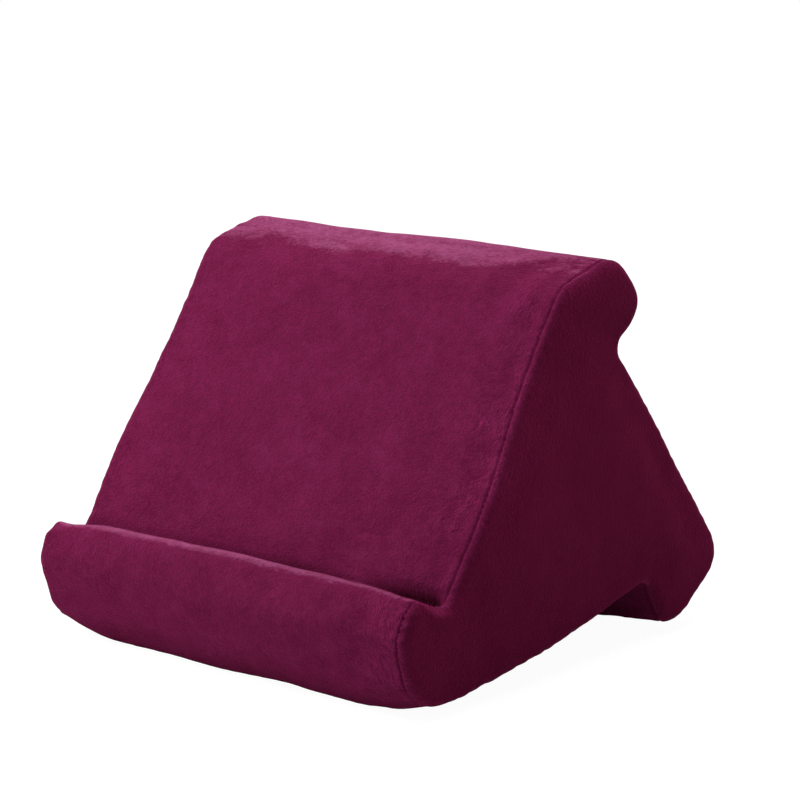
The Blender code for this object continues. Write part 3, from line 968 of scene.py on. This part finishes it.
def tube(mesh, points, radius, sides, upright):
    """A closed round thread or filament through the points. None of its steps may run along upright."""
    rings = []
    for index, point in enumerate(points):
        ahead = points[min(index + 1, len(points) - 1)] - points[max(index - 1, 0)]
        across = ahead.cross(upright).normalized()
        over = across.cross(ahead).normalized()
        turns = (2 * math.pi * side / sides for side in range(sides))
        spots = (point + (across * math.cos(turn) + over * math.sin(turn)) * radius for turn in turns)
        rings.append([mesh.verts.new(spot) for spot in spots])
    for first, second in zip(rings, rings[1:]):
        bridge(mesh, first, second)
    mesh.faces.new(rings[0][::-1])
    mesh.faces.new(rings[-1])


def stitch_line(mesh, start, finish):
    """A row of stitches on the cloth between two (along, down) places, which rise out of it and dip back."""
    start = Vector(start)
    finish = Vector(finish)
    count = round((finish - start).length / STITCH_STEP)
    step = (finish - start) / count
    for number in range(count):
        points = []
        for share in np.linspace(0.0, 1.0, STITCH_POINTS):
            place = start + step * (number + 0.5 + (share - 0.5) * STITCH_LENGTH / STITCH_STEP)
            points.append(zip_point(*place, THREAD_RISE - THREAD_DIP * (2 * share - 1) ** 4))
        tube(mesh, points, THREAD_RADIUS, THREAD_SIDES, Vector((0.0, *zip_out)))


def thread_material():
    """Twisted thread: fine slanting bands, with painted shade between the plies."""
    material, shader, add, join = new_finish("burgundy_thread")
    place = add("ShaderNodeTexCoord")
    twist = add("ShaderNodeTexWave", Scale=420.0, Distortion=0.4, bands_direction="DIAGONAL")
    fuzz = add("ShaderNodeTexNoise", Scale=2600.0, Detail=3.0, Roughness=0.7)
    for texture in (twist, fuzz):
        join(place.outputs["Object"], texture.inputs["Vector"])
    uneven = finish_value(material.node_tree, "MULTIPLY_ADD", fuzz.outputs["Fac"], 0.5, twist.outputs["Fac"])
    stops = ((0.0, THREAD_DARK), (1.0, THREAD_LIGHT))
    join(finish_shades(add, join, stops, uneven), shader.inputs["Base Color"])
    finish_relief(add, join, shader, uneven, strength=0.7, distance=0.0001)
    shader.inputs["Roughness"].default_value = 0.6
    shader.inputs["Specular IOR Level"].default_value = 0.1
    return material


stitch_mesh = bmesh.new()
stitch_x = float(slot_end) + STITCH_EDGE_GAP
stitch_v = SLOT_HALF_OPENING + STITCH_EDGE_GAP
stitch_corners = [
    (-stitch_x, -stitch_v),
    (stitch_x, -stitch_v),
    (stitch_x, stitch_v),
    (-stitch_x, stitch_v),
]
for start, finish in zip(stitch_corners, stitch_corners[1:] + stitch_corners[:1]):
    stitch_line(stitch_mesh, start, finish)
make_piece("slot_stitches", stitch_mesh, thread_material(), "cushion")

# Zip tapes
# Two woven polyester tapes sewn behind the slot's edges, one for each row of coil. They keep their CAD
# shape, and the weave is in the material.
TAPE_DARK = (0.060, 0.0035, 0.020, 1.0)
TAPE_LIGHT = (0.150, 0.0100, 0.052, 1.0)


def tape_material():
    """Herringbone twill: fine ribs along and across the tape, one over the other."""
    material, shader, add, join = new_finish("woven_tape")
    place = add("ShaderNodeTexCoord")
    ribs = add("ShaderNodeTexWave", Scale=360.0, Distortion=0.3, bands_direction="X")
    picks = add("ShaderNodeTexWave", Scale=300.0, Distortion=0.3, bands_direction="Z")
    wear = add("ShaderNodeTexNoise", Scale=60.0, Detail=3.0)
    for texture in (ribs, picks, wear):
        join(place.outputs["Object"], texture.inputs["Vector"])
    tree = material.node_tree
    weave = finish_value(tree, "MULTIPLY", ribs.outputs["Fac"], picks.outputs["Fac"])
    shade = finish_value(tree, "MULTIPLY_ADD", wear.outputs["Fac"], 0.4, weave)
    stops = ((0.0, TAPE_DARK), (1.0, TAPE_LIGHT))
    join(finish_shades(add, join, stops, shade), shader.inputs["Base Color"])
    finish_relief(add, join, shader, weave, strength=0.8, distance=0.0002)
    shader.inputs["Roughness"].default_value = 0.8
    shader.inputs["Sheen Weight"].default_value = 0.2
    return material


def dress_nodes(slot, material):
    """Gives every CAD node of a material slot its finish."""
    for part in frame["record"]["subparts"]:
        if part["material_slot"] == slot:
            node = frame["nodes"][part["node"]]
            node.data.materials.clear()
            node.data.materials.append(material)


dress_nodes("zip_tape", tape_material())

# Zip coils
# Two rows of nylon filament wound into flat loops, one row on each tape. The loops of one row lie in the
# gaps of the other.
COIL_TURN = 0.0016
COIL_STEPS = 10
COIL_RADIUS = 0.00033
COIL_SIDES = 6
COIL_INNER = 0.0002
COIL_OUTER = 0.0030
COIL_BOTTOM = -0.0014
COIL_TOP = 0.0008
NYLON_DARK = (0.105, 0.006, 0.036, 1.0)
NYLON_LIGHT = (0.175, 0.014, 0.064, 1.0)


def nylon_material():
    """Dyed nylon: a smooth half-gloss filament with faint streaks."""
    material, shader, add, join = new_finish("dyed_nylon")
    place = add("ShaderNodeTexCoord")
    streaks = add("ShaderNodeTexNoise", Scale=700.0, Detail=3.0, Roughness=0.6)
    join(place.outputs["Object"], streaks.inputs["Vector"])
    stops = ((0.3, NYLON_DARK), (0.75, NYLON_LIGHT))
    join(finish_shades(add, join, stops, streaks.outputs["Fac"]), shader.inputs["Base Color"])
    polish = finish_between(material.node_tree, streaks.outputs["Fac"], 0.0, 1.0, start=0.25, end=0.45)
    join(polish, shader.inputs["Roughness"])
    finish_relief(add, join, shader, streaks.outputs["Fac"], strength=0.2, distance=0.0001)
    shader.inputs["Specular IOR Level"].default_value = 0.25
    return material


def coil_points(side, start, finish):
    """The filament's path along one row, on the down side of the zip (1) or the up side (-1)."""
    turns = (finish - start) / COIL_TURN - 1
    middle_down = (COIL_INNER + COIL_OUTER) / 2
    middle_out = (COIL_BOTTOM + COIL_TOP) / 2
    half_down = (COIL_OUTER - COIL_INNER) / 2 - COIL_RADIUS
    half_out = (COIL_TOP - COIL_BOTTOM) / 2 - COIL_RADIUS
    offset = COIL_TURN * (0.5 if side > 0 else 0.0)
    points = []
    for step in range(int(turns * COIL_STEPS)):
        turn = 2 * math.pi * step / COIL_STEPS
        along = start + COIL_RADIUS + offset + COIL_TURN * step / COIL_STEPS
        down = side * (middle_down + half_down * math.cos(turn))
        points.append(zip_point(along, down, middle_out + half_out * math.sin(turn)))
    return points


nylon = nylon_material()
for name, side, node in (
    ("coil_loops_upper", -1, "zipper_coil_upper"),
    ("coil_loops_lower", 1, "zipper_coil_lower"),
):
    coil_mesh = bmesh.new()
    low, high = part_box(node)
    path = coil_points(side, low[0], high[0])
    tube(coil_mesh, path, COIL_RADIUS, COIL_SIDES, Vector((1.0, 0.0, 0.0)))
    coil = make_piece(name, coil_mesh, nylon, "cushion")
    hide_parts(node)

# Zip metal
# Cast zinc slider and tab, and crimped stops, all nickel plated. They keep their CAD shape. The finish is a
# soft polish, with fine scratches along the zip and a little tarnish.
NICKEL_DULL = (0.42, 0.40, 0.37, 1.0)
NICKEL_BRIGHT = (0.66, 0.65, 0.62, 1.0)


def plated_material():
    """Nickel plate with fine scratches and a little tarnish."""
    material, shader, add, join = new_finish("nickel_plate")
    place = add("ShaderNodeTexCoord")
    stretch = add("ShaderNodeMapping", Scale=(0.15, 1.0, 1.0))
    scratches = add("ShaderNodeTexNoise", Scale=2200.0, Detail=4.0, Roughness=0.7)
    tarnish = add("ShaderNodeTexNoise", Scale=260.0, Detail=3.0, Roughness=0.6)
    join(place.outputs["Object"], stretch.inputs["Vector"])
    join(stretch.outputs["Vector"], scratches.inputs["Vector"])
    join(place.outputs["Object"], tarnish.inputs["Vector"])
    stops = ((0.3, NICKEL_DULL), (0.7, NICKEL_BRIGHT))
    join(finish_shades(add, join, stops, tarnish.outputs["Fac"]), shader.inputs["Base Color"])
    polish = finish_between(material.node_tree, scratches.outputs["Fac"], 0.0, 1.0, start=0.18, end=0.42)
    join(polish, shader.inputs["Roughness"])
    finish_relief(add, join, shader, scratches.outputs["Fac"], strength=0.15, distance=0.0001)
    shader.inputs["Metallic"].default_value = 1.0
    return material


dress_nodes("zip_metal", plated_material())

# Floor, light and camera
# A white table top and backdrop. A large soft lamp hangs overhead, one stands behind on the left and a
# smaller one in front on the left. The camera is low on the right.
FLOOR_SIZE = 4.0
FLOOR_GREY = (0.62, 0.62, 0.62, 1.0)
FLOOR_GLOW = 1.17
FLOOR_GLOW_SHARE = 0.82
ROOM_LIGHT = 0.17
WHITE = (1.0, 1.0, 1.0, 1.0)
CAMERA_AZIMUTH = math.radians(40.0)
CAMERA_HEIGHT_ANGLE = math.radians(11.74)
CAMERA_PLACE = (1.1515, -1.3574, 0.5109)
CAMERA_LENS = 137.15
SENSOR = 36.0


def background_rays(tree):
    """1 for rays that see the background, straight on or in a reflection, and 0 for those that light."""
    paths = tree.nodes.new("ShaderNodeLightPath")
    seen = paths.outputs["Is Camera Ray"]
    for kind in ("Is Glossy Ray", "Is Transmission Ray"):
        seen = finish_value(tree, "MAXIMUM", seen, paths.outputs[kind])
    return seen


bpy.ops.mesh.primitive_plane_add(size=FLOOR_SIZE)
floor = bpy.context.object
floor.name = "floor"
floor_look, floor_shader, add, join = new_finish("floor_white")
floor_shader.inputs["Base Color"].default_value = FLOOR_GREY
floor_shader.inputs["Roughness"].default_value = 1.0
floor_shader.inputs["Specular IOR Level"].default_value = 0.0
glow = add("ShaderNodeEmission", Color=WHITE, Strength=FLOOR_GLOW)
blend_floor = add("ShaderNodeMixShader")
tree = floor_look.node_tree
join(finish_value(tree, "MULTIPLY", background_rays(tree), FLOOR_GLOW_SHARE), blend_floor.inputs["Fac"])
join(floor_shader.outputs["BSDF"], blend_floor.inputs[1])
join(glow.outputs["Emission"], blend_floor.inputs[2])
join(blend_floor.outputs["Shader"], tree.nodes["Material Output"].inputs["Surface"])
floor.data.materials.append(floor_look)

world = bpy.data.worlds.new("studio")
bpy.context.scene.world = world
world.use_nodes = True
tree = world.node_tree
tree.nodes.clear()
white = tree.nodes.new("ShaderNodeBackground")
room = tree.nodes.new("ShaderNodeBackground")
mix = tree.nodes.new("ShaderNodeMixShader")
out = tree.nodes.new("ShaderNodeOutputWorld")
white.inputs["Strength"].default_value = 1.0
white.inputs["Color"].default_value = WHITE
room.inputs["Color"].default_value = WHITE
room.inputs["Strength"].default_value = ROOM_LIGHT
tree.links.new(background_rays(tree), mix.inputs["Fac"])
tree.links.new(room.outputs["Background"], mix.inputs[1])
tree.links.new(white.outputs["Background"], mix.inputs[2])
tree.links.new(mix.outputs["Shader"], out.inputs["Surface"])


def add_lamp(name, place, aim, size, power):
    """A round soft lamp at a place, turned to its aim."""
    lamp = bpy.data.lights.new(name, "AREA")
    lamp.shape = "DISK"
    lamp.size = size
    lamp.energy = power
    holder = bpy.data.objects.new(name, lamp)
    bpy.context.scene.collection.objects.link(holder)
    holder.location = place
    holder.rotation_euler = (Vector(aim) - Vector(place)).to_track_quat("-Z", "Y").to_euler()


OBJECT_MIDDLE = (0.0, 0.0, 0.1)
add_lamp("overhead", place=(0.0, 0.0, 2.2), aim=OBJECT_MIDDLE, size=1.4, power=36.0)
add_lamp("back", place=(-1.4, 1.4, 1.4), aim=OBJECT_MIDDLE, size=1.2, power=18.0)
add_lamp("fill", place=(-0.8, -0.9, 0.9), aim=(-0.05, -0.1, 0.1), size=0.6, power=10.7)

camera = bpy.data.cameras.new("camera")
camera.lens = CAMERA_LENS
camera.sensor_width = SENSOR
camera_holder = bpy.data.objects.new("camera", camera)
bpy.context.scene.collection.objects.link(camera_holder)
camera_holder.location = CAMERA_PLACE
camera_holder.rotation_euler = (math.pi / 2 - CAMERA_HEIGHT_ANGLE, 0.0, CAMERA_AZIMUTH)
bpy.context.scene.camera = camera_holder
bpy.context.scene.view_settings.view_transform = "Standard"
